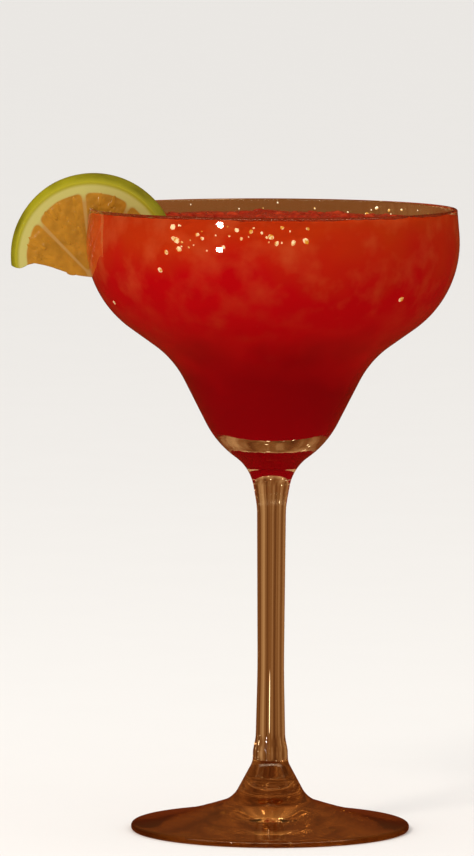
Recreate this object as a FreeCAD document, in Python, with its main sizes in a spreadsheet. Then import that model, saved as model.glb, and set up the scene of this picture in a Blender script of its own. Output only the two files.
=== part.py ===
import FreeCAD, Part
import math
import os

import Sketcher

# A frozen margarita in its glass, with half a wheel of lime on the rim. Millimetres, +Z up.
# The origin is on the glass axis, in the plane that the foot stands on. The lime sits on the -X side.

# Single sizes: alias, value, what it is.
SIZES = [
    ("sole_inner_radius", 37.2, "inner edge of the flat ring under the foot"),
    ("hollow_radius", 14.0, "flat middle of the hollow under the foot"),
    ("hollow_height", 1.8, "height of the hollow under the foot"),
    ("hollow_round", 60.0, "curve from the hollow's middle to the ring"),
    ("floor_height", 116.2, "inside bottom of the bowl"),
    ("drink_level", 176.4, "top of the slush"),
    ("slit_gap", 0.2, "clear space between the lime and each side of the glass wall"),
    ("lime_half_thickness", 4.0, "half the thickness of the lime slice"),
    ("lime_face_radius", 22.3, "radius of the slice's front face"),
    ("lime_skin_radius", 24.5, "corner of the bulging skin"),
    ("lime_skin_offset", 0.8, "how far behind mid-thickness the skin bulges most"),
    ("lime_skin_round", 8.0, "curve of the bulging skin"),
    ("lime_back_radius", 23.8, "radius of the slice's back face"),
    ("lime_edge_round", 0.6, "rounded edge between skin and face"),
    ("lime_cut_drop", 5.5, "straight cut, this far under the slice's middle"),
    ("lime_centre_out", 51.8, "slice's middle, measured out from the glass axis"),
    ("lime_centre_height", 166.5, "slice's middle, measured up from the table"),
    ("lime_roll", 6.6, "degrees that the cut drops towards the drink"),
    ("lime_lean", 3.2, "degrees that the top leans to the front"),
    ("lime_yaw", 3.7, "degrees that the inner end turns to the front"),
]

# Corners of the outside of the glass from the table up: name, radius, height, rounding.
OUTSIDE = [
    ("foot_sole", 40.4, 0.0, 0.8),
    ("foot_edge", 40.4, 1.95, 1.0),
    ("foot_slope", 25.0, 4.55, 100.0),
    ("foot_hub", 10.9, 9.1, 8.0),
    ("knop_low", 5.15, 19.8, 5.0),
    ("knop_top", 5.05, 23.2, 5.0),
    ("stem_base", 4.3, 27.0, 10.0),
    ("stem_waist", 3.85, 47.0, 300.0),
    ("stem_top", 4.2, 94.2, 25.0),
    ("flare", 6.17, 105.45, 13.2),
    ("bowl_floor", 16.1, 112.65, 27.6),
    ("neck", 28.5, 137.05, 28.0),
    ("belly", 55.43, 156.27, 30.5),
    ("rim", 53.3, 180.8, 0.6),
]

# Corners of the inside of the bowl from the rim down, in the same order of columns.
INSIDE = [
    ("lip", 51.9, 180.8, 0.6),
    ("cavity_belly", 53.76, 157.04, 28.9),
    ("cavity_neck", 27.0, 138.3, 29.9),
    ("cavity_base", 15.64, 116.2, 24.0),
]


def make_sheet(doc):
    """Put every size in a spreadsheet cell of its own, named by an alias."""
    sheet = doc.addObject("Spreadsheet::Sheet", "Sizes")
    rows = list(SIZES)
    for name, radius, height, rounding in OUTSIDE + INSIDE:
        rows.append((name + "_radius", radius, "corner, out from the axis"))
        rows.append((name + "_height", height, "corner, up from the table"))
        rows.append((name + "_round", rounding, "rounding of the corner"))
    for row, (alias, value, meaning) in enumerate(rows, start=1):
        sheet.set(f"A{row}", alias)
        sheet.set(f"B{row}", str(value))
        sheet.set(f"C{row}", meaning)
        sheet.setAlias(f"B{row}", alias)
    doc.recompute()
    return sheet


def corner(name, grow=0.0):
    """Expressions for a named corner. grow of +1 or -1 moves it sideways by the slit's gap."""
    sideways = f" {'+' if grow > 0 else '-'} Sizes.slit_gap" if grow else ""
    return (f"Sizes.{name}_radius{sideways}", f"Sizes.{name}_height", f"Sizes.{name}_round")


def new_sketch(body, name, role):
    """Add a sketch on one of the body's own origin planes."""
    sketch = body.newObject("Sketcher::SketchObject", name)
    plane = next(f for f in body.Origin.OriginFeatures if f.Role == role)
    sketch.AttachmentSupport = [(plane, "")]
    sketch.MapMode = "FlatFace"
    return sketch


def pin_point(sketch, geometry, end, across, up, label):
    """Hold a point at two expressions. None puts it on the sketch's own axis instead."""
    for kind, axis, expression in (("DistanceX", -2, across), ("DistanceY", -1, up)):
        if expression is None:
            sketch.addConstraint(Sketcher.Constraint("PointOnObject", geometry, end, axis))
            continue
        value = float(sketch.evalExpression(expression))
        index = sketch.addConstraint(Sketcher.Constraint(kind, -1, 1, geometry, end, value))
        name = f"{label}_{kind}"
        sketch.renameConstraint(index, name)
        sketch.setExpression(f"Constraints.{name}", expression)


def draw_outline(sketch, corners):
    """Draw a closed outline through the corners, each an (across, up, rounding) of expressions.

    A corner with a rounding gets a tangent arc of that radius, and its sharp point stays as a
    construction point on both lines, which carries the two dimensions.
    """
    def value(expression):
        return 0.0 if expression is None else float(sketch.evalExpression(expression))

    count = len(corners)
    points = [FreeCAD.Vector(value(c[0]), value(c[1]), 0) for c in corners]
    radii = [value(c[2]) for c in corners]
    steps = [(points[(i + 1) % count] - points[i]).normalize() for i in range(count)]
    turns = [steps[i - 1].x * steps[i].y - steps[i - 1].y * steps[i].x for i in range(count)]
    trims = [r * math.tan(0.5 * steps[i - 1].getAngle(steps[i])) if r else 0.0
             for i, r in enumerate(radii)]

    lines = []
    for i in range(count):
        start = points[i] + steps[i] * trims[i]
        end = points[(i + 1) % count] - steps[i] * trims[(i + 1) % count]
        lines.append(sketch.addGeometry(Part.LineSegment(start, end), False))

    for i, (across, up, rounding) in enumerate(corners):
        before, after = lines[i - 1], lines[i]
        label = f"corner{i}"
        if not rounding:
            sketch.addConstraint(Sketcher.Constraint("Coincident", before, 2, after, 1))
            pin_point(sketch, after, 1, across, up, label)
            continue
        left = turns[i] > 0
        inward = FreeCAD.Vector(-steps[i].y, steps[i].x, 0) * (1 if left else -1)
        centre = points[i] + steps[i] * trims[i] + inward * radii[i]
        angles = [math.atan2(p.y - centre.y, p.x - centre.x)
                  for p in (points[i] - steps[i - 1] * trims[i], points[i] + steps[i] * trims[i])]
        if not left:
            angles.reverse()
        circle = Part.Circle(centre, FreeCAD.Vector(0, 0, 1), radii[i])
        arc = sketch.addGeometry(Part.ArcOfCircle(circle, angles[0], angles[1]), False)
        sharp = sketch.addGeometry(Part.Point(points[i]), True)
        arc_ends = (1, 2) if left else (2, 1)
        sketch.addConstraint(Sketcher.Constraint("Tangent", before, 2, arc, arc_ends[0]))
        sketch.addConstraint(Sketcher.Constraint("Tangent", arc, arc_ends[1], after, 1))
        sketch.addConstraint(Sketcher.Constraint("PointOnObject", sharp, 1, before))
        sketch.addConstraint(Sketcher.Constraint("PointOnObject", sharp, 1, after))
        pin_point(sketch, sharp, 1, across, up, label)
        index = sketch.addConstraint(Sketcher.Constraint("Radius", arc, radii[i]))
        sketch.renameConstraint(index, f"{label}_Radius")
        sketch.setExpression(f"Constraints.{label}_Radius", rounding)


def revolved_body(doc, name, plane_role, corners):
    """A body turned once round its sketch's upright axis from a closed outline."""
    body = doc.addObject("PartDesign::Body", name)
    sketch = new_sketch(body, name + "_outline", plane_role)
    draw_outline(sketch, corners)
    doc.recompute()
    turned = body.newObject("PartDesign::Revolution", name + "_turned")
    turned.Profile = sketch
    turned.ReferenceAxis = (sketch, ["V_Axis"])
    turned.Angle = 360.0
    doc.recompute()
    return body


def make_glass(doc):
    """The glass: a hollowed foot, a solid stem and a two-stage bowl, blown and drawn as one piece."""
    sole_level = None
    underside = [
        (None, "Sizes.hollow_height", None),
        ("Sizes.hollow_radius", "Sizes.hollow_height", "Sizes.hollow_round"),
        ("Sizes.sole_inner_radius", sole_level, None),
        ("Sizes.foot_sole_radius", sole_level, "Sizes.foot_sole_round"),
    ]
    outside = [corner(row[0]) for row in OUTSIDE[1:]]
    inside = [corner(row[0]) for row in INSIDE]
    floor = [(None, "Sizes.floor_height", None)]
    return revolved_body(doc, "glass", "XZ_Plane", underside + outside + inside + floor)


def make_drink_fill(doc):
    """The slush: what fills the bowl's own inside from its floor up to the level."""
    share = "(Sizes.lip_height - Sizes.drink_level) / (Sizes.lip_height - Sizes.cavity_belly_height)"
    edge_radius = f"Sizes.lip_radius + (Sizes.cavity_belly_radius - Sizes.lip_radius) * {share}"
    inside = [corner(row[0]) for row in INSIDE[1:]]
    corners = [
        (None, "Sizes.drink_level", None),
        (edge_radius, "Sizes.drink_level", None),
    ]
    corners += inside
    corners.append((None, "Sizes.floor_height", None))
    return revolved_body(doc, "drink_fill", "XZ_Plane", corners)


def make_lime_half(doc):
    """Half a wheel of lime, before its slit: a turned disc with bulging skin, cut straight below."""
    front = "-Sizes.lime_half_thickness"
    back = "Sizes.lime_half_thickness"
    corners = [
        (None, front, None),
        ("Sizes.lime_face_radius", front, "Sizes.lime_edge_round"),
        ("Sizes.lime_skin_radius", "Sizes.lime_skin_offset", "Sizes.lime_skin_round"),
        ("Sizes.lime_back_radius", back, "Sizes.lime_edge_round"),
        (None, back, None),
    ]
    body = revolved_body(doc, "lime_half", "XY_Plane", corners)
    whole_volume = body.Shape.Volume

    # What falls away is a rectangle a little wider and deeper than the disc.
    sketch = new_sketch(body, "lime_cut_outline", "XZ_Plane")
    reach = "Sizes.lime_skin_radius * 1.1"
    draw_outline(sketch, [
        (f"-{reach}", f"-{reach}", None),
        (reach, f"-{reach}", None),
        (reach, "-Sizes.lime_cut_drop", None),
        (f"-{reach}", "-Sizes.lime_cut_drop", None),
    ])
    doc.recompute()
    cut = body.newObject("PartDesign::Pocket", "lime_cut")
    cut.Profile = sketch
    cut.Type = "ThroughAll"
    cut.Midplane = True
    doc.recompute()
    if not 0.5 * whole_volume < body.Shape.Volume < 0.8 * whole_volume:
        raise RuntimeError("the straight cut through the lime is missing")

    sheet = doc.getObject("Sizes")
    turn = FreeCAD.Rotation(FreeCAD.Vector(0, 0, 1), -sheet.lime_yaw)
    turn = turn * FreeCAD.Rotation(FreeCAD.Vector(1, 0, 0), sheet.lime_lean)
    turn = turn * FreeCAD.Rotation(FreeCAD.Vector(0, 1, 0), sheet.lime_roll)
    body.Placement = FreeCAD.Placement(FreeCAD.Vector(0, 0, 0), turn)
    body.setExpression("Placement.Base.x", "-Sizes.lime_centre_out")
    body.setExpression("Placement.Base.z", "Sizes.lime_centre_height")
    doc.recompute()
    return body


def make_rim_band(doc):
    """The room the glass wall takes in the lime: the upper wall, wider by the gap all round."""
    top = "Sizes.rim_height + Sizes.slit_gap"
    neck_out = corner("neck", 1)
    neck_in = corner("cavity_neck", -1)
    corners = [
        (neck_out[0], neck_out[1], None),
        corner("belly", 1),
        (corner("rim", 1)[0], top, "Sizes.rim_round"),
        (corner("lip", -1)[0], top, "Sizes.lip_round"),
        corner("cavity_belly", -1),
        (neck_in[0], neck_in[1], None),
    ]
    return revolved_body(doc, "rim_band", "XZ_Plane", corners)


def cut_from(doc, label, base, tool):
    """A labelled sub-part that is one shape less another."""
    cut = doc.addObject("Part::Cut", label)
    cut.Label = label
    cut.Base = base
    cut.Tool = tool
    doc.recompute()
    return cut


def check(doc, sub_parts):
    """Stop if anything failed to compute or a sub-part isn't one valid solid."""
    for obj in doc.Objects:
        if "Invalid" in obj.State or "Error" in obj.State:
            raise RuntimeError(f"{obj.Name} failed: {obj.State}")
    for obj in sub_parts:
        shape = obj.Shape
        if shape.isNull() or not shape.isValid() or len(shape.Solids) != 1:
            raise RuntimeError(f"{obj.Label} isn't one valid solid")


def main():
    doc = FreeCAD.newDocument("frozen_margarita")
    make_sheet(doc)
    glass = make_glass(doc)
    glass.Label = "glass"
    lime_half = make_lime_half(doc)
    drink = cut_from(doc, "drink", make_drink_fill(doc), lime_half)
    lime = cut_from(doc, "lime_slice", lime_half, make_rim_band(doc))
    sub_parts = [glass, drink, lime]
    check(doc, sub_parts)
    os.makedirs("parts", exist_ok=True)
    for obj in sub_parts:
        obj.Shape.exportStep(os.path.join("parts", obj.Label + ".step"))
        box = obj.Shape.optimalBoundingBox()
        print(f"{obj.Label}: {obj.Shape.Volume / 1000:.2f} cm3, "
              f"x {box.XMin:.2f}..{box.XMax:.2f}, y {box.YMin:.2f}..{box.YMax:.2f}, "
              f"z {box.ZMin:.2f}..{box.ZMax:.2f}, faces {len(obj.Shape.Faces)}")


main()
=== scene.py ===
"""The looks of a frozen margarita: its glass, its slush and ice, its half wheel of lime and the stage."""

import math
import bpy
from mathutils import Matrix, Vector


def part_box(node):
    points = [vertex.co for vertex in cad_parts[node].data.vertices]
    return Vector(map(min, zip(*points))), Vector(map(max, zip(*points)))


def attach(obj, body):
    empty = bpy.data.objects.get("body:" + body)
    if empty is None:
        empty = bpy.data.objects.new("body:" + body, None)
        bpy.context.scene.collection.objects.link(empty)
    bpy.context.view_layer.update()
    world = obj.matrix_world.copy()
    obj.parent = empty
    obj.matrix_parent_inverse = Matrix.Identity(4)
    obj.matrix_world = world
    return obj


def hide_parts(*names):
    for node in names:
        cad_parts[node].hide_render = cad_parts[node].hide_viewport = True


bl_info = {
    "name": "Frozen Margarita",
    "version": (1, 0, 0),
    "blender": (4, 5, 0),
    "location": "3D View > Sidebar > Margarita",
    "description": "Makes the glass, slush, ice, lime garnish and stage of a frozen margarita",
    "category": "Object",
}

import bmesh
import bpy
from mathutils import Matrix, Vector, noise

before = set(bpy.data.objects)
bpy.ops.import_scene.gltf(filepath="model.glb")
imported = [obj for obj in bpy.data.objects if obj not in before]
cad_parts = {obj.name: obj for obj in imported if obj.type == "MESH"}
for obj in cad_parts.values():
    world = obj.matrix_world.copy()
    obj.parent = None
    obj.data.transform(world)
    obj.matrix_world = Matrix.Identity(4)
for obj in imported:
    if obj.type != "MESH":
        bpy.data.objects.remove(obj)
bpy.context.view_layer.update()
GLASS_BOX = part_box("glass")
DRINK_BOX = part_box("drink")

MM = 0.001
RIM_HEIGHT = GLASS_BOX[1].z
DRINK_LEVEL = DRINK_BOX[1].z
FLOOR_HEIGHT = DRINK_BOX[0].z

# How strongly each clear stuff bends light.
GLASS_IOR = 1.52
SYRUP_IOR = 1.39
JUICE_IOR = 1.36
WATER_IOR = 1.33
ICE_IOR = 1.31


def linear(hex_colour):
    """The linear red, green and blue of an sRGB hex colour."""
    channels = [int(hex_colour[i:i + 2], 16) / 255 for i in (0, 2, 4)]
    return tuple(c / 12.92 if c <= 0.04045 else ((c + 0.055) / 1.055) ** 2.4 for c in channels)


def colour_setting(label, hex_colour, meaning):
    """A colour property with its default given as an sRGB hex value."""
    return bpy.props.FloatVectorProperty(
        name=label, description=meaning, subtype="COLOR", size=3, min=0.0, max=1.0,
        default=linear(hex_colour))


def size_setting(label, metres, meaning):
    """A length property in metres."""
    return bpy.props.FloatProperty(
        name=label, description=meaning, subtype="DISTANCE", unit="LENGTH",
        default=metres, min=0.0, precision=5)


# ---------------------------------------------------------------- settings

class GlassSettings(bpy.types.PropertyGroup):
    """The glass."""
    sides: bpy.props.IntProperty(
        name="Sides", description="Flat strips round the glass", default=192, min=24, max=512)
    # Both tints are painted: brown that stands in for the warm room seen through the clear glass, darkest
    # in the foot.
    thin_painted_brown: colour_setting("Thin tint", "E6D4BA", "What the bowl and stem leave of white light")
    thick_painted_brown: colour_setting("Thick tint", "9A5E28", "What the thick foot leaves of white light")


class SlushSettings(bpy.types.PropertyGroup):
    """The drink."""
    into_wall: size_setting("Into wall", 0.25 * MM, "How far the slush reaches into the glass wall")
    surface_rise: size_setting("Surface rise", 0.4 * MM, "How far the top stands above its flat level")
    front_rise: size_setting("Front rise", 3.2 * MM, "How far slush clings higher to the front wall")
    lump_height: size_setting("Lump height", 1.5 * MM, "Height of the soft lumps of the top")
    sides: bpy.props.IntProperty(
        name="Sides", description="Flat strips round the slush", default=256, min=24, max=512)
    rings: bpy.props.IntProperty(
        name="Rings", description="Rings of faces on the open top", default=64, min=8, max=256)
    top_colour: colour_setting("Top colour", "E24418", "Slush near the rim")
    middle_colour: colour_setting("Middle colour", "E2081A", "Slush half way down the wide bowl")
    deep_colour: colour_setting("Deep colour", "AE0214", "Slush in the narrow lower bowl")
    seed: bpy.props.IntProperty(name="Seed", description="Seed of the lumps", default=7)


class IceSettings(bpy.types.PropertyGroup):
    """Crushed ice on the slush and air against the wall."""
    shard_size: size_setting("Shard size", 1.5 * MM, "Radius of a middling bit of ice on top")
    shard_crowd: bpy.props.FloatProperty(
        name="Shards", description="Bits of ice for each square metre of surface", default=90000.0)
    bubble_size: size_setting("Bubble size", 0.62 * MM, "Radius of a middling air pocket at the wall")
    bubble_crowd: bpy.props.FloatProperty(
        name="Bubbles", description="Air pockets for each square metre of wall", default=170000.0)
    drop_size: size_setting("Drop size", 0.42 * MM, "Radius of a middling drop on the free glass")
    drop_crowd: bpy.props.FloatProperty(
        name="Drops", description="Drops for each square metre of free glass", default=110000.0)
    seed: bpy.props.IntProperty(name="Seed", description="Seed of the scatter", default=11)


class LimeSettings(bpy.types.PropertyGroup):
    """The half wheel of lime on the rim."""
    half_thickness: size_setting("Half thickness", 4.0 * MM, "Half the thickness of the slice")
    pulp_radius: size_setting("Pulp radius", 19.1 * MM, "From the slice's middle to the pith")
    cut_drop: size_setting("Cut drop", 5.5 * MM, "How far the straight cut is under the middle")
    sac_length: size_setting("Sac length", 1.7 * MM, "Half the length of a juice sac")
    skin: colour_setting("Skin", "787200", "Waxy green skin")
    pith: colour_setting("Pith", "ABA156", "Cream pith")
    membrane: colour_setting("Membrane", "A27838", "Thin walls between the segments")
    pulp: colour_setting("Pulp", "9C691A", "Wet pulp")
    seed: bpy.props.IntProperty(name="Seed", description="Seed of the juice sacs", default=4)


class StageSettings(bpy.types.PropertyGroup):
    """Floor, light and camera."""
    floor_colour: colour_setting("Floor", "E3E1DE", "Pale matte floor")
    camera_distance: size_setting("Camera distance", 2.2, "Camera to glass axis")
    camera_height: size_setting("Camera height", 0.301, "Camera above the floor")
    lens: bpy.props.FloatProperty(
        name="Lens", description="Focal length in millimetres", default=320.7, min=10.0)
    floor_reach: size_setting("Floor reach", 30.0, "From the glass to the floor's edge")


# ---------------------------------------------------------------- node helpers

def connect(tree, node, inputs):
    """Give a node's sockets their values, or link them to other nodes and sockets."""
    for key, value in inputs.items():
        if isinstance(value, bpy.types.Node):
            value = next(socket for socket in value.outputs if socket.enabled)
        if isinstance(value, bpy.types.NodeSocket):
            tree.links.new(value, node.inputs[key])
        else:
            node.inputs[key].default_value = value


def add(tree, kind, inputs=None, stops=None, **settings):
    """Add a node with its settings, its socket values or links, and a ramp's stops."""
    node = tree.nodes.new(kind)
    for name, value in settings.items():
        setattr(node, name, value)
    connect(tree, node, inputs or {})
    for index, (place, colour) in enumerate(stops or ()):
        elements = node.color_ramp.elements
        element = elements[index] if index < 2 else elements.new(place)
        element.position = place
        element.color = (*colour, 1.0)
    return node


def new_material(name, inputs=None):
    """A node material with one Principled shader, and its tree, shader and Object coordinates."""
    material = bpy.data.materials.new(name)
    material.use_nodes = True
    tree = material.node_tree
    tree.nodes.clear()
    shader = add(tree, "ShaderNodeBsdfPrincipled", inputs)
    add(tree, "ShaderNodeOutputMaterial", {"Surface": shader})
    place = add(tree, "ShaderNodeTexCoord").outputs["Object"]
    return material, tree, shader, place


def cloudy(tree, place, pitch, detail, stops):
    """Colours that drift into each other from one cloud to the next, a pitch apart."""
    cloud = add(tree, "ShaderNodeTexNoise", {"Vector": place, "Scale": 1 / pitch, "Detail": detail})
    return add(tree, "ShaderNodeValToRGB", {"Fac": cloud}, stops=stops)


def shade(colour, share):
    """A colour made darker or lighter."""
    return tuple(c * share for c in colour)


def new_tree(name, inputs):
    """A geometry tree with a geometry in and out and named inputs, and its group input node."""
    tree = bpy.data.node_groups.new(name, "GeometryNodeTree")
    tree.interface.new_socket("Geometry", in_out="INPUT", socket_type="NodeSocketGeometry")
    tree.interface.new_socket("Geometry", in_out="OUTPUT", socket_type="NodeSocketGeometry")
    for label, kind in inputs.items():
        tree.interface.new_socket(label, in_out="INPUT", socket_type="NodeSocket" + kind)
    return tree, add(tree, "NodeGroupInput").outputs


def grow(name, tree, values, base):
    """Run a geometry tree on a base mesh and keep its result as a plain mesh object."""
    host = bpy.data.objects.new(name, base)
    bpy.context.scene.collection.objects.link(host)
    modifier = host.modifiers.new("Shape", "NODES")
    modifier.node_group = tree
    for item in tree.interface.items_tree:
        if item.item_type == "SOCKET" and item.in_out == "INPUT" and item.name in values:
            modifier[item.identifier] = values[item.name]
    graph = bpy.context.evaluated_depsgraph_get()
    mesh = bpy.data.meshes.new_from_object(host.evaluated_get(graph), depsgraph=graph)
    host.modifiers.clear()
    host.data = mesh
    mesh.name = name
    if not mesh.polygons:
        raise RuntimeError(f"{name} came out empty")
    return host


def close_up(piece):
    """Merge a piece's seam and poles, point its faces outwards and shade it smooth."""
    work = bmesh.new()
    work.from_mesh(piece.data)
    bmesh.ops.remove_doubles(work, verts=work.verts, dist=1e-7)
    bmesh.ops.recalc_face_normals(work, faces=work.faces)
    for face in work.faces:
        face.smooth = True
    work.to_mesh(piece.data)
    work.free()


def crowd_where(mesh, share):
    """Store on each point how thickly things are scattered there, from a function of its place."""
    crowd = mesh.attributes.new("crowd", "FLOAT", "POINT")
    for vertex, value in zip(mesh.vertices, crowd.data):
        value.value = share(vertex.co, vertex.normal)
    return mesh


def ease(low, high, value):
    """0 at low, 1 at high and a smooth change between."""
    share = min(1.0, max(0.0, (value - low) / (high - low)))
    return share * share * (3 - 2 * share)


# ---------------------------------------------------------------- outlines

# Corners of the glass's outside from the table up, in millimetres: radius, height, rounding.
OUTSIDE = [
    (40.4, 0.0, 0.8),
    (40.4, 1.95, 1.0),
    (25.0, 4.55, 100.0),
    (10.9, 9.1, 8.0),
    (5.15, 19.8, 5.0),
    (5.05, 23.2, 5.0),
    (4.3, 27.0, 10.0),
    (3.85, 47.0, 300.0),
    (4.2, 94.2, 25.0),
    (6.17, 105.45, 13.2),
    (16.1, 112.65, 27.6),
    (28.5, 137.05, 28.0),
    (55.43, 156.27, 30.5),
    (53.3, 180.8, 0.6),
]
# The same for the inside of the bowl, from the rim down.
INSIDE = [
    (51.9, 180.8, 0.6),
    (53.76, 157.04, 28.9),
    (27.0, 138.3, 29.9),
    (15.64, 116.2, 24.0),
]
# The hollow under the foot, from the axis out.
UNDERSIDE = [
    (0.0, 1.8, 0.0),
    (14.0, 1.8, 60.0),
    (37.2, 0.0, 0.0),
]


def rounded(corners, degrees=3.0, longest=2.5):
    """Points along an outline in millimetres: each corner becomes a tangent arc of its rounding."""
    flat = [Vector((radius, height)) for radius, height, _ in corners]
    points = [flat[0]]
    for before, at, after, (_, _, rounding) in zip(flat, flat[1:], flat[2:], corners[1:]):
        arrive = (at - before).normalized()
        leave = (after - at).normalized()
        turn = arrive.angle_signed(leave)
        if not rounding or abs(turn) < 1e-6:
            points.append(at)
            continue
        start = at - arrive * rounding * math.tan(abs(turn) / 2)
        side = Vector((arrive.y, -arrive.x)) * (1 if turn > 0 else -1)
        centre = start + side * rounding
        steps = max(2, math.ceil(math.degrees(abs(turn)) / degrees))
        for step in range(steps + 1):
            spoke = Matrix.Rotation(-turn * step / steps, 2) @ (start - centre)
            points.append(centre + spoke)
    points.append(flat[-1])
    filled = [points[0]]
    for last, point in zip(points, points[1:]):
        pieces = max(1, math.ceil((point - last).length / longest))
        filled += [last.lerp(point, i / pieces) for i in range(1, pieces + 1)]
    return filled


def outline_mesh(name, points):
    """A bare line of points, radius along X and height along Z, in metres."""
    mesh = bpy.data.meshes.new(name)
    mesh.from_pydata([(p.x * MM, 0.0, p.y * MM) for p in points],
                     [(i, i + 1) for i in range(len(points) - 1)], [])
    return mesh


# Where the slope up the front wall begins and ends, outwards from the axis and from back to front.
SLOPE_OUTWARDS = (42 * MM, 52 * MM)
SLOPE_FRONTWARDS = (22 * MM, -22 * MM)
# From one lump of the top to the next, and what the wall leaves of their height.
LUMP_PITCH = 15 * MM
CALM_AT_WALL = 0.35
# A level above the whole part, for a body with no level top.
NO_LEVEL = 1.0


def turning_tree():
    """Turns an outline in the XZ plane once round the Z axis, then lifts its level top in lumps."""
    tree, given = new_tree("Turned outline", {
        "Sides": "Int", "Level": "Float", "Rise": "Float", "Front rise": "Float", "Lumps": "Float",
        "Seed": "Int", "Material": "Material", "Top material": "Material"})
    count = add(tree, "GeometryNodeAttributeDomainSize", {"Geometry": given["Geometry"]})
    rows = add(tree, "ShaderNodeMath", {0: given["Sides"], 1: 1.0}, operation="ADD")
    grid = add(tree, "GeometryNodeMeshGrid", {
        "Size X": 1.0, "Size Y": 1.0, "Vertices X": count, "Vertices Y": rows})
    here = add(tree, "GeometryNodeInputPosition")
    shares = add(tree, "ShaderNodeVectorMath", {0: here, 1: (0.5, 0.5, 0.0)}, operation="ADD")
    share = add(tree, "ShaderNodeSeparateXYZ", {0: shares})
    last = add(tree, "ShaderNodeMath", {0: count, 1: 1.0}, operation="SUBTRACT")
    step = add(tree, "ShaderNodeMath", {0: share.outputs["X"], 1: last}, operation="MULTIPLY")
    column = add(tree, "ShaderNodeMath", {0: step}, operation="ROUND")
    spot = add(tree, "GeometryNodeSampleIndex", {
        "Geometry": given["Geometry"], "Value": here, "Index": column},
        data_type="FLOAT_VECTOR", domain="POINT")
    angle = add(tree, "ShaderNodeMath", {0: share.outputs["Y"], 1: 2 * math.pi}, operation="MULTIPLY")
    turned = add(tree, "ShaderNodeVectorRotate", {"Vector": spot, "Angle": angle}, rotation_type="Z_AXIS")
    round_body = add(tree, "GeometryNodeSetPosition", {"Geometry": grid, "Position": turned})
    merged = add(tree, "GeometryNodeMergeByDistance", {"Geometry": round_body, "Distance": 1e-6})

    # Points at the level are lifted: lumps with chunks and grit on them, and a slope up the front
    # wall, where slush clings.
    part = add(tree, "ShaderNodeSeparateXYZ", {0: here})
    under = add(tree, "ShaderNodeMath", {0: given["Level"], 1: 1e-5}, operation="SUBTRACT")
    at_level = add(tree, "ShaderNodeMath", {0: part.outputs["Z"], 1: under}, operation="GREATER_THAN")
    across = add(tree, "ShaderNodeVectorMath", {0: here, 1: (1.0, 1.0, 0.0)}, operation="MULTIPLY")
    radius = add(tree, "ShaderNodeVectorMath", {0: across}, operation="LENGTH").outputs["Value"]
    at_wall = add(tree, "ShaderNodeMapRange", {
        "Value": radius, "From Min": SLOPE_OUTWARDS[0], "From Max": SLOPE_OUTWARDS[1]},
        interpolation_type="SMOOTHSTEP")
    at_front = add(tree, "ShaderNodeMapRange", {
        "Value": part.outputs["Y"], "From Min": SLOPE_FRONTWARDS[0],
        "From Max": SLOPE_FRONTWARDS[1]}, interpolation_type="SMOOTHSTEP")
    waves = add(tree, "ShaderNodeTexNoise", {
        "Vector": here, "W": given["Seed"], "Scale": 1 / LUMP_PITCH, "Detail": 3.0,
        "Roughness": 0.62, "Lacunarity": 2.4}, noise_dimensions="4D", normalize=False)
    calm = add(tree, "ShaderNodeMapRange", {"Value": at_wall, "To Min": 1.0, "To Max": CALM_AT_WALL})
    swell = add(tree, "ShaderNodeMath", {0: waves, 1: calm}, operation="MULTIPLY")
    lumps = add(tree, "ShaderNodeMath", {
        0: swell, 1: given["Lumps"], 2: given["Rise"]}, operation="MULTIPLY_ADD")
    front_wall = add(tree, "ShaderNodeMath", {0: at_wall, 1: at_front}, operation="MULTIPLY")
    lift = add(tree, "ShaderNodeMath", {
        0: front_wall, 1: given["Front rise"], 2: lumps}, operation="MULTIPLY_ADD")
    upwards = add(tree, "ShaderNodeCombineXYZ", {"Z": lift})
    lumpy = add(tree, "GeometryNodeSetPosition", {
        "Geometry": merged, "Selection": at_level, "Offset": upwards})

    smooth = add(tree, "GeometryNodeSetShadeSmooth", {"Geometry": lumpy})
    real = add(tree, "GeometryNodeRealizeInstances", {"Geometry": smooth})
    body = add(tree, "GeometryNodeSetMaterial", {"Geometry": real, "Material": given["Material"]})
    floor = add(tree, "ShaderNodeMath", {0: given["Level"], 1: given["Lumps"]}, operation="SUBTRACT")
    high = add(tree, "ShaderNodeMath", {0: part.outputs["Z"], 1: floor}, operation="GREATER_THAN")
    facing = add(tree, "ShaderNodeSeparateXYZ", {0: add(tree, "GeometryNodeInputNormal")})
    lying = add(tree, "ShaderNodeMath", {0: facing.outputs["Z"]}, operation="ABSOLUTE")
    is_top = add(tree, "ShaderNodeMath", {0: lying, 1: 0.5}, operation="GREATER_THAN")
    chosen = add(tree, "ShaderNodeMath", {0: high, 1: is_top}, operation="MULTIPLY")
    top = add(tree, "GeometryNodeSetMaterial", {
        "Geometry": body, "Material": given["Top material"], "Selection": chosen})
    add(tree, "NodeGroupOutput", {"Geometry": top})
    return tree


# ---------------------------------------------------------------- glass

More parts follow.
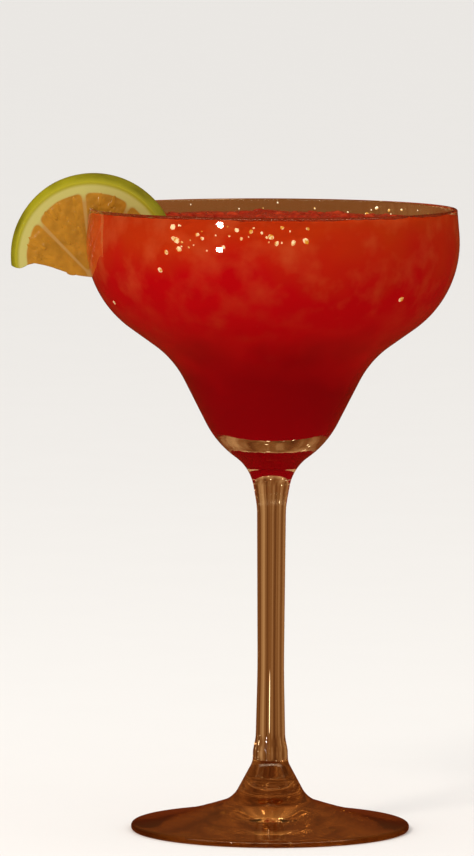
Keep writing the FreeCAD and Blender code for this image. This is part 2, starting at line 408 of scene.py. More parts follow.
def clear_glass(settings):
    """Soda-lime glass, drawn and fire-polished, with a painted brown cast, deepest in the foot, that
    stands in for the warm room seen through the clear glass.

    The eye gets hard small highlights, and the room behind drawn out in wavy streaks down the
    stem, because the surface keeps shallow ripples about 2 mm apart from the drawing.
    """
    material, tree, shader, place = new_material("fire_polished_glass", {
        "Transmission Weight": 1.0, "Roughness": 0.0, "IOR": GLASS_IOR})
    height = add(tree, "ShaderNodeSeparateXYZ", {0: place})
    # Painted brown of the room seen through the glass: strongest in the foot, paler from 22 mm up.
    thick = add(tree, "ShaderNodeMapRange", {
        "Value": height.outputs["Z"], "From Min": 10 * MM, "From Max": 22 * MM})
    tint = add(tree, "ShaderNodeValToRGB", {"Fac": thick}, stops=[
        (0.0, tuple(settings.thick_painted_brown)), (1.0, tuple(settings.thin_painted_brown))])
    connect(tree, shader, {"Base Color": tint})
    drawn_out = add(tree, "ShaderNodeMapping", {"Vector": place, "Scale": (1.0, 1.0, 0.12)})
    ripples = add(tree, "ShaderNodeTexNoise", {
        "Vector": drawn_out, "Scale": 1 / (2 * MM), "Detail": 1.0})
    bump = add(tree, "ShaderNodeBump", {
        "Height": ripples, "Strength": 0.25, "Distance": 0.1 * MM})
    connect(tree, shader, {"Normal": bump})
    return material


class OBJECT_OT_margarita_glass(bpy.types.Operator):
    """Turn the glass from its outline"""
    bl_idname = "object.margarita_glass"
    bl_label = "Make glass"

    def execute(self, context):
        settings = context.scene.margarita_glass
        outline = outline_mesh("glass_outline", rounded(
            UNDERSIDE + OUTSIDE + INSIDE + [(0.0, FLOOR_HEIGHT / MM, 0.0)]))
        material = clear_glass(settings)
        piece = grow("goblet", turning_tree(), {
            "Sides": settings.sides, "Level": NO_LEVEL, "Material": material,
            "Top material": material}, outline)
        close_up(piece)
        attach(piece, "root")
        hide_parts("glass")
        return {"FINISHED"}


# ---------------------------------------------------------------- slush

def slush_colour(tree, place, settings):
    """Red that deepens down the bowl, with orange icy patches of a few millimetres near the top."""
    part = add(tree, "ShaderNodeSeparateXYZ", {0: place})
    drift = add(tree, "ShaderNodeTexNoise", {
        "Vector": place, "Scale": 1 / (24 * MM), "Detail": 2.0}, normalize=False)
    wander = add(tree, "ShaderNodeMath", {
        0: drift, 1: 9 * MM, 2: part.outputs["Z"]}, operation="MULTIPLY_ADD")
    share = add(tree, "ShaderNodeMapRange", {
        "Value": wander, "From Min": FLOOR_HEIGHT, "From Max": DRINK_LEVEL})
    deep, middle, top = (tuple(c) for c in (
        settings.deep_colour, settings.middle_colour, settings.top_colour))
    base = add(tree, "ShaderNodeValToRGB", {"Fac": share}, stops=[
        (0.0, deep), (1.0, top), (0.27, deep), (0.52, middle), (0.75, middle)])
    patches = add(tree, "ShaderNodeTexNoise", {
        "Vector": place, "Scale": 1 / (9 * MM), "Detail": 3.0, "Roughness": 0.55})
    icy = add(tree, "ShaderNodeMapRange", {
        "Value": patches, "From Min": 0.45, "From Max": 0.85})
    upper = add(tree, "ShaderNodeMapRange", {
        "Value": share, "From Min": 0.5, "From Max": 0.9, "To Max": 0.85})
    amount = add(tree, "ShaderNodeMath", {0: icy, 1: upper}, operation="MULTIPLY")
    return add(tree, "ShaderNodeMix", {
        0: amount, 6: base, 7: (*linear("F27040"), 1.0)}, data_type="RGBA")


def slush_against_glass(settings):
    """Strawberry ice slush pressed against glass.

    It has no gloss of its own there. Syrup bends light less than glass does, so a sight line
    that skims the glass's inner surface is turned back as by a mirror, and the thick bottom of
    the bowl shows a clear crescent under the drink.
    """
    material, tree, shader, place = new_material("strawberry_slush_at_glass", {
        "Specular IOR Level": 0.0})
    fresnel = add(tree, "ShaderNodeFresnel", {"IOR": SYRUP_IOR / GLASS_IOR})
    # Only what comes close to total reflection counts, or the whole wall would turn hazy.
    skim = add(tree, "ShaderNodeMapRange", {"Value": fresnel, "From Min": 0.85, "From Max": 1.0})
    colour = add(tree, "ShaderNodeMix", {
        0: skim, 6: slush_colour(tree, place, settings), 7: (1.0, 1.0, 1.0, 1.0)}, data_type="RGBA")
    connect(tree, shader, {"Base Color": colour, "Metallic": skim})
    matte = add(tree, "ShaderNodeMapRange", {"Value": skim, "To Min": 0.6, "To Max": 0.02})
    connect(tree, shader, {"Roughness": matte})
    return material


def slush_surface(settings):
    """The open top of blended ice: darker than the slush at the glass, with wet grains of about two
    millimetres.
    """
    top_darkening = (0.36, 0.22, 0.2, 1.0)
    material, tree, shader, place = new_material("strawberry_slush_top", {
        "Roughness": 0.3, "IOR": WATER_IOR, "Specular IOR Level": 0.2})
    # The top's colour is the slush colour multiplied darker.
    soaked = add(tree, "ShaderNodeMix", {
        0: 1.0, 6: slush_colour(tree, place, settings), 7: top_darkening},
        data_type="RGBA", blend_type="MULTIPLY")
    connect(tree, shader, {"Base Color": soaked})
    grains = add(tree, "ShaderNodeTexVoronoi", {
        "Vector": place, "Scale": 1 / (2.2 * MM), "Detail": 2.0, "Roughness": 0.7})
    bump = add(tree, "ShaderNodeBump", {"Height": grains, "Strength": 0.9, "Distance": 0.8 * MM})
    connect(tree, shader, {"Normal": bump})
    return material


class OBJECT_OT_margarita_slush(bpy.types.Operator):
    """Fill the glass with slush"""
    bl_idname = "object.margarita_slush"
    bl_label = "Make slush"

    def execute(self, context):
        settings = context.scene.margarita_slush
        wall = settings.into_wall / MM
        floor = FLOOR_HEIGHT / MM - wall
        level = DRINK_LEVEL / MM
        lip, belly, neck, base = INSIDE
        share = (lip[1] - level) / (lip[1] - belly[1])
        edge = lip[0] + (belly[0] - lip[0]) * share + wall
        points = rounded([
            (0.0, floor, 0.0),
            (base[0] + wall, floor, base[2]),
            (neck[0] + wall, neck[1], neck[2]),
            (belly[0] + wall, belly[1], belly[2]),
            (edge, level, 0.0)], longest=1.5)
        rings = settings.rings
        points += [Vector((edge * (1 - i / rings), level)) for i in range(1, rings + 1)]
        piece = grow("slush", turning_tree(), {
            "Sides": settings.sides, "Level": DRINK_LEVEL, "Rise": settings.surface_rise,
            "Front rise": settings.front_rise, "Lumps": settings.lump_height,
            "Seed": settings.seed, "Material": slush_against_glass(settings),
            "Top material": slush_surface(settings)}, outline_mesh("slush_outline", points))
        close_up(piece)
        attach(piece, "root")
        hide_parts("drink")
        return {"FINISHED"}


# ---------------------------------------------------------------- ice

def scatter_tree():
    """Scatters rough lumps over a surface where its crowd attribute says, turned and sized at random."""
    tree, given = new_tree("Scattered lumps", {
        "Crowd": "Float", "Size": "Float", "Detail": "Int", "Flatness": "Float",
        "Roughness": "Float", "Sink": "Float", "Smooth": "Bool", "Seed": "Int",
        "Material": "Material"})
    crowd = add(tree, "GeometryNodeInputNamedAttribute", {"Name": "crowd"}, data_type="FLOAT")
    density = add(tree, "ShaderNodeMath", {0: crowd, 1: given["Crowd"]}, operation="MULTIPLY")
    points = add(tree, "GeometryNodeDistributePointsOnFaces", {
        "Mesh": given["Geometry"], "Density": density, "Seed": given["Seed"]})
    # Each lump is a squashed ball that lies on the surface, tilted by up to 0.7 radians.
    ball = add(tree, "GeometryNodeMeshIcoSphere", {"Radius": 1.0, "Subdivisions": given["Detail"]})
    squash = add(tree, "ShaderNodeCombineXYZ", {"X": 1.0, "Y": 0.8, "Z": given["Flatness"]})
    lump = add(tree, "GeometryNodeTransform", {"Geometry": ball, "Scale": squash})
    turn = add(tree, "FunctionNodeRandomValue", {
        "Max": (0.7, 0.7, 2 * math.pi), "Seed": given["Seed"]}, data_type="FLOAT_VECTOR")
    lying = add(tree, "FunctionNodeAlignRotationToVector", {
        "Rotation": turn, "Vector": points.outputs["Normal"]}, axis="Z")
    # Most are small and a few are large.
    chance = add(tree, "FunctionNodeRandomValue", {"Seed": given["Seed"]}, data_type="FLOAT")
    few_large = add(tree, "ShaderNodeMath", {0: chance, 1: 2.2}, operation="POWER")
    spread = add(tree, "ShaderNodeMapRange", {"Value": few_large, "To Min": 0.45, "To Max": 1.9})
    scale = add(tree, "ShaderNodeMath", {0: spread, 1: given["Size"]}, operation="MULTIPLY")
    size = add(tree, "ShaderNodeVectorMath", {0: (1.0, 1.0, 1.0), "Scale": scale}, operation="SCALE")
    placed = add(tree, "GeometryNodeInstanceOnPoints", {
        "Points": points, "Instance": lump, "Rotation": lying, "Scale": size})
    real = add(tree, "GeometryNodeRealizeInstances", {"Geometry": placed})
    # Noise a little coarser than a lump knocks each one out of its round shape.
    here = add(tree, "GeometryNodeInputPosition")
    fineness = add(tree, "ShaderNodeMath", {0: 0.7, 1: given["Size"]}, operation="DIVIDE")
    crags = add(tree, "ShaderNodeTexNoise", {"Vector": here, "Scale": fineness, "Detail": 1.0})
    centred = add(tree, "ShaderNodeVectorMath", {
        0: crags.outputs["Color"], 1: (0.5, 0.5, 0.5)}, operation="SUBTRACT")
    rough = add(tree, "ShaderNodeMath", {0: given["Roughness"], 1: given["Size"]}, operation="MULTIPLY")
    shift = add(tree, "ShaderNodeVectorMath", {0: centred, "Scale": rough}, operation="SCALE")
    drop = add(tree, "ShaderNodeCombineXYZ", {"Z": given["Sink"]})
    offset = add(tree, "ShaderNodeVectorMath", {0: shift, 1: drop}, operation="SUBTRACT")
    moved = add(tree, "GeometryNodeSetPosition", {"Geometry": real, "Offset": offset})
    shaded = add(tree, "GeometryNodeSetShadeSmooth", {"Geometry": moved, "Shade Smooth": given["Smooth"]})
    coated = add(tree, "GeometryNodeSetMaterial", {
        "Geometry": shaded, "Material": given["Material"]})
    add(tree, "NodeGroupOutput", {"Geometry": coated})
    return tree


def soaked_ice():
    """Crushed ice soaked in strawberry: cloudy orange-red inside, a wet skin outside."""
    material, tree, shader, place = new_material("soaked_crushed_ice", {
        "Roughness": 0.15, "IOR": ICE_IOR, "Specular IOR Level": 0.25})
    colour = cloudy(tree, place, 2.5 * MM, 2.0, [(0.35, linear("7C140A")), (0.75, linear("A83418"))])
    connect(tree, shader, {"Base Color": colour})
    return material


def air_with_painted_glints():
    """Air caught between ice and glass: white facets, yellower at the edges, painted as glints.

    A little light of their own is a painted highlight that stands in for flashes this small.
    """
    material, tree, shader, place = new_material("air_glowing_with_painted_glints", {
        "Roughness": 0.15, "Emission Strength": 0.55})
    colour = cloudy(tree, place, 1.2 * MM, 2.0, [(0.4, linear("D8A034")), (0.56, linear("FFF4CC"))])
    connect(tree, shader, {"Base Color": colour, "Emission Color": colour})
    return material


class OBJECT_OT_margarita_ice(bpy.types.Operator):
    """Scatter crushed ice over the slush and air and drops against the glass"""
    bl_idname = "object.margarita_ice"
    bl_label = "Make ice"

    def execute(self, context):
        settings = context.scene.margarita_ice
        slush = bpy.data.objects.get("slush")
        goblet = bpy.data.objects.get("goblet")
        if slush is None or goblet is None:
            raise RuntimeError("make the glass and the slush first")
        tree = scatter_tree()
        wall = DRINK_BOX[1].x

        def on_top(place, normal):
            """Bits of ice lie on the open top, away from the wall."""
            near_level = place.z > DRINK_LEVEL - 3 * MM
            off_wall = place.xy.length < wall - 6 * MM
            return float(normal.z > 0.5 and near_level and off_wall)

        def under_waterline(place, normal):
            """Air crowds in a band under the waterline, most of it at the front left."""
            if normal.z > 0.5:
                return 0.0
            under = DRINK_LEVEL - place.z
            band = 1 - ease(1 * MM, 6 * MM, under)
            stray = 0.006 * (1 - ease(15 * MM, 30 * MM, under))
            # Degrees round the glass from its front, with the thickest crowd at -14.
            heading = math.degrees(math.atan2(place.x, -place.y))
            front_left = ease(33, 12, abs(heading + 14))
            return band * (0.04 + front_left) + stray

        def on_free_wall(place, _):
            """Drops stuck to the inside of the glass above the slush, mostly at the back."""
            above = DRINK_LEVEL + 1 * MM < place.z < RIM_HEIGHT - 1.2 * MM
            inside = place.xy.length < wall - 0.1 * MM
            return float(inside and above) * (0.1 + 0.9 * ease(0, 30 * MM, place.y))

        shards = grow("ice_shards", tree, {
            "Crowd": settings.shard_crowd, "Size": settings.shard_size, "Detail": 2,
            "Flatness": 0.6, "Roughness": 1.0, "Sink": 0.6 * MM, "Smooth": True,
            "Seed": settings.seed, "Material": soaked_ice()},
            crowd_where(slush.data.copy(), on_top))
        # The bubbles and the drops share one glowing white and yellow material: painted glints.
        bright = air_with_painted_glints()
        bubbles = grow("wall_bubbles", tree, {
            "Crowd": settings.bubble_crowd, "Size": settings.bubble_size, "Detail": 1,
            "Flatness": 0.6, "Roughness": 0.7, "Sink": 0.0, "Smooth": False,
            "Seed": settings.seed + 5, "Material": bright},
            crowd_where(slush.data.copy(), under_waterline))
        drops = grow("wall_drops", tree, {
            "Crowd": settings.drop_crowd, "Size": settings.drop_size, "Detail": 1,
            "Flatness": 0.7, "Roughness": 0.6, "Sink": 0.0, "Smooth": False,
            "Seed": settings.seed + 8, "Material": bright},
            crowd_where(goblet.data.copy(), on_free_wall))
        for piece in (shards, bubbles, drops):
            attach(piece, "root")
        return {"FINISHED"}


# ---------------------------------------------------------------- lime

# The slice's middle and turn in the frame.
LIME_TURN = (Matrix.Rotation(math.radians(-3.7), 4, "Z")
             @ Matrix.Rotation(math.radians(3.2), 4, "X")
             @ Matrix.Rotation(math.radians(6.6), 4, "Y"))
LIME_PLACE = Matrix.Translation((-51.8 * MM, 0.0, 166.5 * MM)) @ LIME_TURN
# Skin from front face to back face in millimetres: radius, depth, rounding.
SKIN_SECTION = [(22.3, -4.0, 0.6), (24.5, 0.8, 8.0), (23.8, 4.0, 0.6)]
# Where the segments meet, beside the slice's middle.
HUB_SIDE = 0.8
# How far the knife left the straight cut hollow, in millimetres.
CUT_HOLLOW = 2.0
# Where the membranes run, in degrees about the hub from the inner end.
MEMBRANES = (33.0, 70.0, 103.0, 141.0)
# Where the skin's rounded edges meet the flat faces, from the slice's middle in millimetres.
FACE_EDGE = 21.5
# A juice sac's half length, half width and half height, as shares of its length.
SAC_SHAPE = (1.0, 0.36, 0.065)


def soft_least(a, b, width):
    """The lesser of two numbers, blended over a width where they are close."""
    share = max(0.0, width - abs(a - b)) / width
    return min(a, b) - share * share * width / 4


def pulp_depth(x, z, hub, settings):
    """How far inside its segment of pulp a point of the face is, in millimetres."""
    spoke = Vector((x - hub.x, z - hub.y))
    distance = spoke.length
    wobble = 0.35 * noise.noise(Vector((x * 0.25, z * 0.25, 3.1)))
    deep = settings.pulp_radius / MM - math.hypot(x, z) + wobble
    deep = soft_least(deep, distance - 1.2, 2.0)
    angle = math.atan2(spoke.y, spoke.x)
    for membrane in MEMBRANES:
        apart = angle - math.radians(membrane)
        if abs(apart) < math.pi / 2:
            half_width = 0.22 + 0.012 * distance + 0.1 * wobble
            deep = soft_least(deep, distance * abs(math.sin(apart)) - half_width, 1.6)
    return deep


def lime_body(settings):
    """The slice as one closed mesh: skin, two faces and the straight cut, in its own frame."""
    across, outwards = 220, 90
    hub = Vector((HUB_SIDE, -settings.cut_drop / MM))
    half = settings.half_thickness / MM
    # The section starts well inside the faces, so that both edges get their full rounding.
    section = rounded([(18.0, -half, 0.0), *SKIN_SECTION, (18.0, half, 0.0)], degrees=12, longest=0.8)
    section = [p for p in section if p.x > FACE_EDGE]
    mesh = bmesh.new()
    pulp = mesh.verts.layers.float.new("pulp")
    rind = mesh.verts.layers.float.new("rind")

    def reach(angle, radius):
        """From the hub to a circle round the slice's middle, along an angle."""
        aim = Vector((math.cos(angle), math.sin(angle)))
        along = hub.dot(aim)
        return -along + math.sqrt(along * along - hub.length_squared + radius * radius)

    def spot(turn, share, radius, depth, relief):
        """A point of the slice from its turn about the hub and its share of the way to the skin."""
        angle = math.pi * turn
        uneven = noise.noise(Vector((3 * math.cos(angle), 3 * math.sin(angle), 0.0)))
        distance = share * reach(angle, radius * (1 + 0.004 * uneven))
        # The cut is hollow between the hub and the skin.
        hollow = CUT_HOLLOW * min(ease(3.0, 17.0, distance), ease(21.5, 17.5, distance))
        lift = math.asin(min(0.9, hollow / max(distance, 2.5)))
        angle = lift + (math.pi - 2 * lift) * turn
        x = hub.x + distance * math.cos(angle)
        z = hub.y + distance * math.sin(angle)
        deep = pulp_depth(x, z, hub, settings)
        if relief:
            ripple = noise.noise(Vector((x * 0.6, z * 0.6, depth)))
            depth += math.copysign(ease(0.0, 1.2, deep) * (0.12 + 0.15 * ripple), depth)
        vertex = mesh.verts.new((x * MM, depth * MM, z * MM))
        vertex[pulp] = deep
        vertex[rind] = SKIN_SECTION[0][0] - math.hypot(x, z)
        return vertex

    def patch(rows, material):
        """Quads between rows of points."""
        for row, following in zip(rows, rows[1:]):
            for a, b, c, d in zip(row, row[1:], following[1:], following):
                mesh.faces.new((a, b, c, d)).material_index = material

    turns = [i / across for i in range(across + 1)]
    shares = [(j / outwards) ** 0.85 for j in range(1, outwards + 1)]
    for point in (section[0], section[-1]):
        patch([[spot(turn, share, point.x, point.y, True) for share in shares] for turn in turns], 1)
    patch([[spot(turn, 1.0, p.x, p.y, False) for p in section] for turn in turns], 0)
    for turn in (0.0, 1.0):
        patch([[spot(turn, share, p.x, p.y, False) for p in section] for share in [0.0, *shares]], 1)
    bmesh.ops.remove_doubles(mesh, verts=mesh.verts, dist=2e-5)
    bmesh.ops.holes_fill(mesh, edges=[e for e in mesh.edges if e.is_boundary], sides=0)
    bmesh.ops.recalc_face_normals(mesh, faces=mesh.faces)
    for face in mesh.faces:
        face.smooth = True
    data = bpy.data.meshes.new("lime_half_wheel")
    mesh.to_mesh(data)
    mesh.free()
    return data


def lime_skin(settings):
    """Waxy lime skin: a thin gloss over yellow-green, pitted with oil glands under a millimetre apart."""
    material, tree, shader, place = new_material("waxy_lime_skin", {
        "Roughness": 0.4, "Specular IOR Level": 0.12, "Coat Weight": 0.08, "Coat Roughness": 0.1})
    depth = add(tree, "ShaderNodeAttribute", attribute_name="rind").outputs["Fac"]
    green = cloudy(tree, place, 9 * MM, 3.0, [
        (0.32, shade(settings.skin, 0.72)), (0.68, shade(settings.skin, 1.35))])
    edge = add(tree, "ShaderNodeMapRange", {"Value": depth, "From Min": -0.9, "From Max": 0.1})
    colour = add(tree, "ShaderNodeMix", {
        0: edge, 6: green, 7: (*linear("928816"), 1.0)}, data_type="RGBA")
    connect(tree, shader, {"Base Color": colour})
    glands = add(tree, "ShaderNodeTexVoronoi", {"Vector": place, "Scale": 1 / (0.8 * MM)})
    bump = add(tree, "ShaderNodeBump", {"Height": glands, "Strength": 0.3, "Distance": 0.1 * MM})
    connect(tree, shader, {"Normal": bump})
    return material


def lime_flesh(settings):
    """A wet knife cut through lime: yellow edge of the skin, cream pith, amber pulp and membranes."""
    material, tree, shader, place = new_material("cut_lime", {"Specular IOR Level": 0.25})
    rind = add(tree, "ShaderNodeAttribute", attribute_name="rind").outputs["Fac"]
    pulp = add(tree, "ShaderNodeAttribute", attribute_name="pulp").outputs["Fac"]
    inwards = add(tree, "ShaderNodeMapRange", {"Value": rind, "From Min": 0.0, "From Max": 8.0})
    pith, membrane = tuple(settings.pith), tuple(settings.membrane)
    layers = add(tree, "ShaderNodeValToRGB", {"Fac": inwards}, stops=[
        (0.0, linear("98900C")), (0.75, membrane), (0.08, linear("928816")), (0.17, pith), (0.42, pith)])
    juicy = cloudy(tree, place, 4 * MM, 3.0, [
        (0.3, shade(settings.pulp, 0.8)), (0.65, shade(settings.pulp, 1.15))])
    inside = add(tree, "ShaderNodeMapRange", {"Value": pulp, "From Min": -0.2, "From Max": 0.25})
    colour = add(tree, "ShaderNodeMix", {0: inside, 6: layers, 7: juicy}, data_type="RGBA")
    connect(tree, shader, {"Base Color": colour})
    wet = add(tree, "ShaderNodeMapRange", {"Value": inside, "To Min": 0.5, "To Max": 0.18})
    connect(tree, shader, {"Roughness": wet})
    return material


def juice_sacs(settings):
    """Juice sacs in the pulp: thin wet skins, amber, no two quite the same."""
    material, tree, shader, place = new_material("lime_juice_sac", {
        "Roughness": 0.12, "IOR": JUICE_IOR, "Specular IOR Level": 0.7})
    colour = cloudy(tree, place, 3 * MM, 2.0, [
        (0.3, shade(settings.pulp, 0.88)), (0.7, shade(settings.pulp, 1.2))])
    connect(tree, shader, {"Base Color": colour})
    return material


def sac_tree():
    """Lays long juice sacs flat in the pulp, each pointing away from the hub."""
    tree, given = new_tree("Juice sacs", {
        "Hub": "Vector", "Axis": "Vector", "Length": "Float", "Spacing": "Float", "Seed": "Int",
        "Material": "Material"})
    here = add(tree, "GeometryNodeInputPosition")
    pulp = add(tree, "GeometryNodeInputNamedAttribute", {"Name": "pulp"}, data_type="FLOAT")
    deep = add(tree, "ShaderNodeMath", {0: pulp, 1: 1.6}, operation="GREATER_THAN")
    normal = add(tree, "GeometryNodeInputNormal")
    square = add(tree, "ShaderNodeVectorMath", {
        0: normal, 1: given["Axis"]}, operation="DOT_PRODUCT").outputs["Value"]
    either = add(tree, "ShaderNodeMath", {0: square}, operation="ABSOLUTE")
    on_face = add(tree, "ShaderNodeMath", {0: either, 1: 0.8}, operation="GREATER_THAN")
    chosen = add(tree, "ShaderNodeMath", {0: deep, 1: on_face}, operation="MULTIPLY")
    points = add(tree, "GeometryNodeDistributePointsOnFaces", {
        "Mesh": given["Geometry"], "Selection": chosen, "Distance Min": given["Spacing"],
        "Density Max": 900000.0, "Seed": given["Seed"]}, distribute_method="POISSON")
    away = add(tree, "ShaderNodeVectorMath", {0: here, 1: given["Hub"]}, operation="SUBTRACT")
    distance = add(tree, "ShaderNodeVectorMath", {0: away}, operation="LENGTH").outputs["Value"]
    flat = add(tree, "FunctionNodeAlignRotationToVector", {
        "Vector": points.outputs["Normal"]}, axis="Z")
    # The sacs lie a little under the face, long way outwards, and grow larger away from the hub.
    sunk = add(tree, "ShaderNodeVectorMath", {
        0: points.outputs["Normal"], "Scale": -0.1 * MM}, operation="SCALE")
    bedded = add(tree, "GeometryNodeSetPosition", {"Geometry": points, "Offset": sunk})
    aimed = add(tree, "FunctionNodeAlignRotationToVector", {
        "Rotation": flat, "Vector": away}, axis="X", pivot_axis="Z")
    chance = add(tree, "FunctionNodeRandomValue", {
        2: 0.75, 3: 1.25, "Seed": given["Seed"]}, data_type="FLOAT")
    grown = add(tree, "ShaderNodeMapRange", {
        "Value": distance, "From Min": 3 * MM, "From Max": 20 * MM, "To Min": 0.55, "To Max": 1.1})
    varied = add(tree, "ShaderNodeMath", {0: chance, 1: grown}, operation="MULTIPLY")
    scale = add(tree, "ShaderNodeMath", {0: varied, 1: given["Length"]}, operation="MULTIPLY")
    size = add(tree, "ShaderNodeVectorMath", {0: SAC_SHAPE, "Scale": scale}, operation="SCALE")
    sac = add(tree, "GeometryNodeMeshUVSphere", {"Segments": 10, "Rings": 7, "Radius": 1.0})
    placed = add(tree, "GeometryNodeInstanceOnPoints", {
        "Points": bedded, "Instance": sac, "Rotation": aimed, "Scale": size})
    real = add(tree, "GeometryNodeRealizeInstances", {"Geometry": placed})
    smooth = add(tree, "GeometryNodeSetShadeSmooth", {"Geometry": real})
    coated = add(tree, "GeometryNodeSetMaterial", {"Geometry": smooth, "Material": given["Material"]})
    add(tree, "NodeGroupOutput", {"Geometry": coated})
    return tree


class OBJECT_OT_margarita_lime(bpy.types.Operator):
    """Cut the half wheel of lime and set it on the rim"""
    bl_idname = "object.margarita_lime"
    bl_label = "Make lime"

    def execute(self, context):
        settings = context.scene.margarita_lime
        data = lime_body(settings)
        data.transform(LIME_PLACE)
        data.materials.append(lime_skin(settings))
        data.materials.append(lime_flesh(settings))
        slice_piece = bpy.data.objects.new("lime_half_wheel", data)
        context.scene.collection.objects.link(slice_piece)
        hub = LIME_PLACE @ Vector((HUB_SIDE * MM, 0.0, -settings.cut_drop))
        axis = LIME_TURN.to_3x3() @ Vector((0.0, 1.0, 0.0))
        sacs = grow("lime_juice_sacs", sac_tree(), {
            "Hub": hub, "Axis": axis, "Length": settings.sac_length, "Spacing": 1.25 * MM,
            "Seed": settings.seed, "Material": juice_sacs(settings)}, data.copy())
        for piece in (slice_piece, sacs):
            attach(piece, "root")
        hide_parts("lime_slice")
        return {"FINISHED"}


# ---------------------------------------------------------------- stage

def painted_board(settings):
    """Matte painted board: even, pale, no gloss."""
    material, tree, shader, place = new_material("pale_painted_board", {
        "Roughness": 0.9, "Specular IOR Level": 0.0})
    tone = settings.floor_colour
    colour = cloudy(tree, place, 40 * MM, 2.0, [(0.0, shade(tone, 0.985)), (1.0, tone)])
    connect(tree, shader, {"Base Color": colour})
    return material


# The white that lights all matte surfaces, and the colour of the room's lamps and windows.
STUDIO_WHITE = (1.08, 1.07, 1.06, 1.0)
LAMP_COLOUR = (1.0, 0.84, 0.58)
# The row of windows by the direction of sight: where it fades in and out upwards, and to -Y.
WINDOW_FOOT = (0.33, 0.5)
WINDOW_HEAD = (0.64, 0.54)
WINDOW_FRONT = (-0.05, -0.4)


def studio_world():
    """Soft white light all round, and the warm dim room that shows in and through clear glass.

    Light for matte surfaces comes from the white studio. A sight line that has only met glass or
    gloss finds the room: brown, in soft upright bands with a few small lamps when seen through
    the glass, and darker below than above when mirrored.
    """
    world = bpy.data.worlds.new("studio")
    world.use_nodes = True
    tree = world.node_tree
    tree.nodes.clear()
    aim = add(tree, "ShaderNodeTexCoord").outputs["Generated"]
    part = add(tree, "ShaderNodeSeparateXYZ", {0: aim})
    drawn_up = add(tree, "ShaderNodeMapping", {"Vector": aim, "Scale": (1.0, 1.0, 0.1)})
    bands = add(tree, "ShaderNodeTexNoise", {
        "Vector": drawn_up, "Scale": 3.4, "Detail": 3.0, "Roughness": 0.6})
    room = add(tree, "ShaderNodeValToRGB", {"Fac": bands}, stops=[
        (0.34, linear("5C3418")), (0.66, linear("CBA070")), (0.5, linear("8E5F36"))])
    # Small lamps here and there, and a bright row of windows high on the -Y side.
    small = add(tree, "ShaderNodeTexVoronoi", {"Vector": aim, "Scale": 5.0})
    glow = add(tree, "ShaderNodeMapRange", {
        "Value": small, "From Min": 0.12, "From Max": 0.04, "To Max": 6.0})
    above = add(tree, "ShaderNodeMapRange", {
        "Value": part.outputs["Z"], "From Min": WINDOW_FOOT[0], "From Max": WINDOW_FOOT[1]},
        interpolation_type="SMOOTHSTEP")
    below = add(tree, "ShaderNodeMapRange", {
        "Value": part.outputs["Z"], "From Min": WINDOW_HEAD[0], "From Max": WINDOW_HEAD[1]},
        interpolation_type="SMOOTHSTEP")
    before = add(tree, "ShaderNodeMapRange", {
        "Value": part.outputs["Y"], "From Min": WINDOW_FRONT[0], "From Max": WINDOW_FRONT[1]},
        interpolation_type="SMOOTHSTEP")
    large = add(tree, "ShaderNodeTexVoronoi", {"Vector": aim, "Scale": 3.2})
    shine = add(tree, "ShaderNodeMapRange", {
        "Value": large, "From Min": 0.35, "From Max": 0.2, "To Min": 3.5, "To Max": 10.0})
    height = add(tree, "ShaderNodeMath", {0: above, 1: below}, operation="MULTIPLY")
    ceiling = add(tree, "ShaderNodeMath", {0: height, 1: before}, operation="MULTIPLY")
    bright = add(tree, "ShaderNodeMath", {0: ceiling, 1: shine}, operation="MULTIPLY")
    window = add(tree, "ShaderNodeVectorMath", {0: LAMP_COLOUR, "Scale": bright}, operation="SCALE")
    sparks = add(tree, "ShaderNodeVectorMath", {0: LAMP_COLOUR, "Scale": glow}, operation="SCALE")
    lamps = add(tree, "ShaderNodeVectorMath", {
        0: window, 1: (0.3, 0.3, 0.3), 2: sparks}, operation="MULTIPLY_ADD")
    # The room is lighter overhead, and darker below than above when mirrored.
    overhead = add(tree, "ShaderNodeValToRGB", {"Fac": part.outputs["Z"]}, stops=[
        (0.4, (0.0, 0.0, 0.0)), (0.8, linear("CCB084"))])
    upper_room = add(tree, "ShaderNodeVectorMath", {0: room, 1: overhead}, operation="ADD")
    through = add(tree, "ShaderNodeVectorMath", {0: upper_room, 1: lamps}, operation="ADD")
    dusk = add(tree, "ShaderNodeValToRGB", {"Fac": part.outputs["Z"]}, stops=[
        (0.15, linear("682A12")), (0.7, linear("A26C3C"))])
    mirrored = add(tree, "ShaderNodeVectorMath", {0: dusk, 1: window}, operation="ADD")
    # Only a ray that has met glass or gloss, and no matte surface yet, finds the room.
    ray = add(tree, "ShaderNodeLightPath").outputs
    sight = add(tree, "ShaderNodeMix", {
        0: ray["Is Transmission Ray"], 6: mirrored, 7: through}, data_type="RGBA")
    direct = add(tree, "ShaderNodeMath", {0: ray["Diffuse Depth"], 1: 0.5}, operation="LESS_THAN")
    glassy = add(tree, "ShaderNodeMath", {0: direct, 1: ray["Is Glossy Ray"]}, operation="MULTIPLY")
    tone = add(tree, "ShaderNodeMix", {
        0: glassy, 6: STUDIO_WHITE, 7: sight}, data_type="RGBA")
    light = add(tree, "ShaderNodeBackground", {"Color": tone, "Strength": 1.0})
    add(tree, "ShaderNodeOutputWorld", {"Surface": light})
    return world


# The middle of the bowl, which the lights look at.
BOWL_MIDDLE = (0.0, 0.0, 0.172)
# Each light's name, watts, width and height, place, and whether gloss mirrors it.
LIGHTS = [
    ("key", 14.0, (0.5, 0.5), (-0.9, -1.1, 1.2), False),
    ("upper lamp", 0.4, (0.1, 0.024), (-0.69, -1.09, 0.324), True),
    ("lower lamp", 1.2, (0.1, 0.1), (-0.69, -1.09, 0.158), True),
]
# What the middle of the view looks at.
CAMERA_AIM = Vector((-10.1 * MM, 0.0, 117 * MM))
CAMERA_ROLL = math.radians(0.25)
# Light is turned back many times inside the thin foot.
GLOSSY_BOUNCES = 16
ALL_BOUNCES = 24


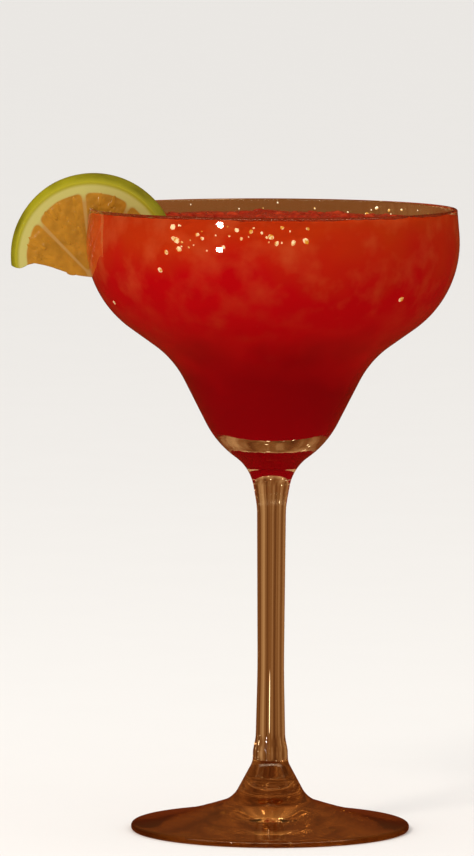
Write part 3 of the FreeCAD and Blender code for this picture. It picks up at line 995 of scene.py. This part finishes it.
def soft_light(name, watts, size, place, mirrored):
    """An oval light that looks at the bowl, and may show in gloss."""
    data = bpy.data.lights.new(name, "AREA")
    data.energy = watts
    data.shape = "ELLIPSE"
    data.size, data.size_y = size
    data.color = linear("FFF6EA")
    light = bpy.data.objects.new(name, data)
    light.location = place
    aim = Vector(BOWL_MIDDLE) - light.location
    light.rotation_euler = aim.to_track_quat("-Z", "Y").to_euler()
    light.visible_camera = False
    light.visible_glossy = mirrored
    bpy.context.scene.collection.objects.link(light)


class SCENE_OT_margarita_stage(bpy.types.Operator):
    """Lay the floor, hang the lights and set up the camera"""
    bl_idname = "scene.margarita_stage"
    bl_label = "Make stage"

    def execute(self, context):
        settings = context.scene.margarita_stage
        scene = context.scene
        reach = settings.floor_reach
        corners = [(-reach, -reach, 0.0), (reach, -reach, 0.0), (reach, reach, 0.0), (-reach, reach, 0.0)]
        mesh = bpy.data.meshes.new("floor")
        mesh.from_pydata(corners, [], [(0, 1, 2, 3)])
        mesh.materials.append(painted_board(settings))
        floor = bpy.data.objects.new("floor", mesh)
        floor.visible_glossy = False
        floor.visible_transmission = False
        scene.collection.objects.link(floor)

        scene.world = studio_world()
        scene.view_settings.view_transform = "Standard"
        scene.cycles.glossy_bounces = GLOSSY_BOUNCES
        scene.cycles.max_bounces = ALL_BOUNCES
        for light in LIGHTS:
            soft_light(*light)

        data = bpy.data.cameras.new("camera")
        data.lens = settings.lens
        data.sensor_width = 36.0
        camera = bpy.data.objects.new("camera", data)
        camera.location = (CAMERA_AIM.x, -settings.camera_distance, settings.camera_height)
        look = (CAMERA_AIM - camera.location).to_track_quat("-Z", "Y").to_matrix()
        camera.rotation_euler = (look @ Matrix.Rotation(CAMERA_ROLL, 3, "Z")).to_euler()
        scene.collection.objects.link(camera)
        scene.camera = camera
        return {"FINISHED"}


# ---------------------------------------------------------------- panel and running

class VIEW3D_PT_margarita(bpy.types.Panel):
    """Sizes, colours and makers of the frozen margarita"""
    bl_label = "Frozen Margarita"
    bl_idname = "VIEW3D_PT_margarita"
    bl_space_type = "VIEW_3D"
    bl_region_type = "UI"
    bl_category = "Margarita"

    def draw(self, context):
        for group, operators in STEPS:
            box = self.layout.box()
            settings = getattr(context.scene, group)
            for name in settings.__annotations__:
                box.prop(settings, name)
            for operator in operators:
                box.operator(operator.bl_idname)


GROUPS = {
    "margarita_glass": GlassSettings,
    "margarita_slush": SlushSettings,
    "margarita_ice": IceSettings,
    "margarita_lime": LimeSettings,
    "margarita_stage": StageSettings,
}
STEPS = [
    ("margarita_glass", [OBJECT_OT_margarita_glass]),
    ("margarita_slush", [OBJECT_OT_margarita_slush]),
    ("margarita_ice", [OBJECT_OT_margarita_ice]),
    ("margarita_lime", [OBJECT_OT_margarita_lime]),
    ("margarita_stage", [SCENE_OT_margarita_stage]),
]


def register():
    for group in GROUPS.values():
        bpy.utils.register_class(group)
    for name, group in GROUPS.items():
        setattr(bpy.types.Scene, name, bpy.props.PointerProperty(type=group))
    for _, operators in STEPS:
        for operator in operators:
            bpy.utils.register_class(operator)
    bpy.utils.register_class(VIEW3D_PT_margarita)


def unregister():
    bpy.utils.unregister_class(VIEW3D_PT_margarita)
    for _, operators in reversed(STEPS):
        for operator in reversed(operators):
            bpy.utils.unregister_class(operator)
    for name, group in reversed(GROUPS.items()):
        delattr(bpy.types.Scene, name)
        bpy.utils.unregister_class(group)


def main():
    register()
    bpy.ops.object.margarita_glass()
    bpy.ops.object.margarita_slush()
    bpy.ops.object.margarita_ice()
    bpy.ops.object.margarita_lime()
    bpy.ops.scene.margarita_stage()


if __name__ == "__main__":
    main()
